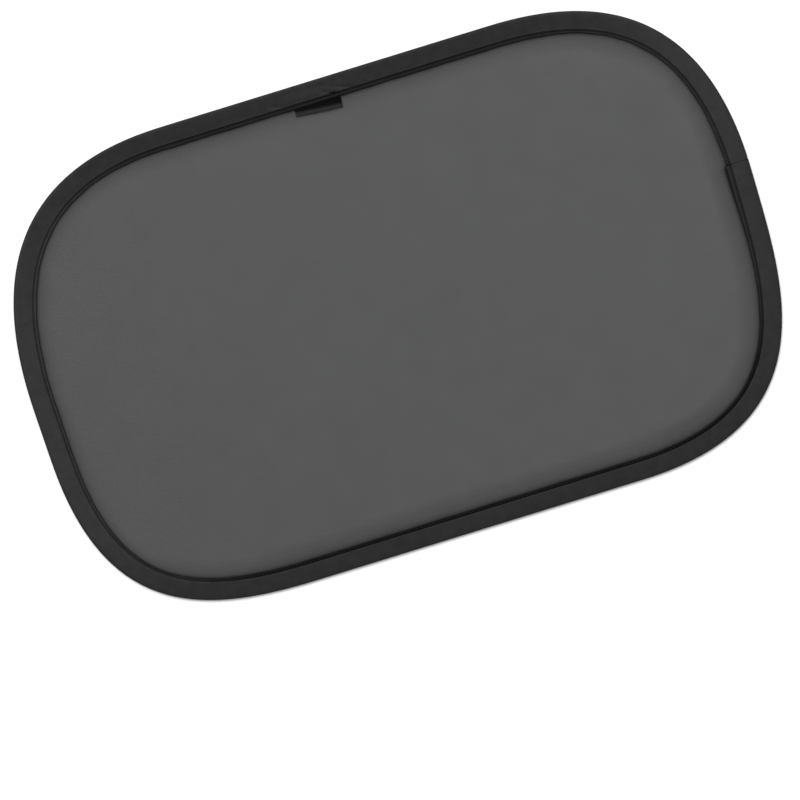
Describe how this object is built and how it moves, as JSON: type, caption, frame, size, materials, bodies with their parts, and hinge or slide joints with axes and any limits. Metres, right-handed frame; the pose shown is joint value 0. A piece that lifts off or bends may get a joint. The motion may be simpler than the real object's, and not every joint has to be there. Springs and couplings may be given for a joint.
{
  "type": "car side window sunshade",
  "caption": "Pop-up side window sunshade: see-through mesh and cling film panel in a folded fabric edge round a spring wire hoop, with a blank label.",
  "frame": {"origin": "on the surface the shade lies on, under the middle of its outline", "axes": "+X along the shade's length, +Y up its height as it hangs on the window, +Z away from the glass, the side with the label"},
  "size_m": [0.49, 0.3102, 0.0028],
  "materials": {
    "polyester_tape": "plain woven black polyester tape, matt",
    "polyester_mesh": "fine knitted black polyester mesh, see-through, matt",
    "clear_film": "clear soft vinyl film, smooth",
    "spring_steel": "drawn spring steel wire",
    "zinc_plated_steel": "zinc plated steel tube",
    "label_ribbon": "close woven black polyester ribbon, slight sheen",
    "sewing_thread": "twisted black polyester thread"
  },
  "bodies": {
    "root": {"edge_binding": "polyester_tape", "mesh_panel": "polyester_mesh", "cling_film": "clear_film", "spring_wire": "spring_steel", "wire_sleeve": "zinc_plated_steel", "label_tab": "label_ribbon", "needle_thread": "sewing_thread", "bobbin_thread": "sewing_thread"}
  },
  "joints": []
}
